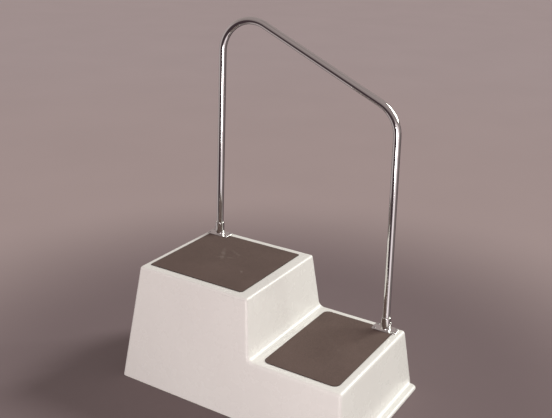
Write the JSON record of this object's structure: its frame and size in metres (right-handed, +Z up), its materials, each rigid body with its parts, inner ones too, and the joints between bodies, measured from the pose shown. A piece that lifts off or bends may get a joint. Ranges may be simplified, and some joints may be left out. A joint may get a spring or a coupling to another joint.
{
  "type": "dock steps",
  "caption": "Moulded two-step dock steps with drafted walls, an open underside, a non-slip pad on each tread and a bent tube handrail on the right-hand side.",
  "frame": {"origin": "on the ground, at the centre of the footprint of the whole part", "axes": "+Z is up. +Y is the way one climbs, from the lower step towards the upper one. +X is to the climber's right, where the handrail stands."},
  "size_m": [0.5288, 0.892, 1.2029],
  "materials": {
    "gelcoat": "off-white gelcoat on fibreglass, soft gloss",
    "tread_pad": "fine matt non-slip grit, lightly scuffed",
    "rail_tube": "polished stainless steel tube",
    "rail_base": "polished stainless steel casting",
    "fastener": "plain stainless steel"
  },
  "bodies": {
    "root": {"step_shell": "gelcoat", "upper_tread_pad": "tread_pad", "lower_tread_pad": "tread_pad", "handrail": "rail_tube", "upper_rail_base": "rail_base", "lower_rail_base": "rail_base", "upper_base_screws": "fastener", "lower_base_screws": "fastener", "upper_base_washers": "fastener", "lower_base_washers": "fastener", "upper_base_nuts": "fastener", "lower_base_nuts": "fastener", "upper_set_screw": "fastener", "lower_set_screw": "fastener"}
  },
  "joints": []
}
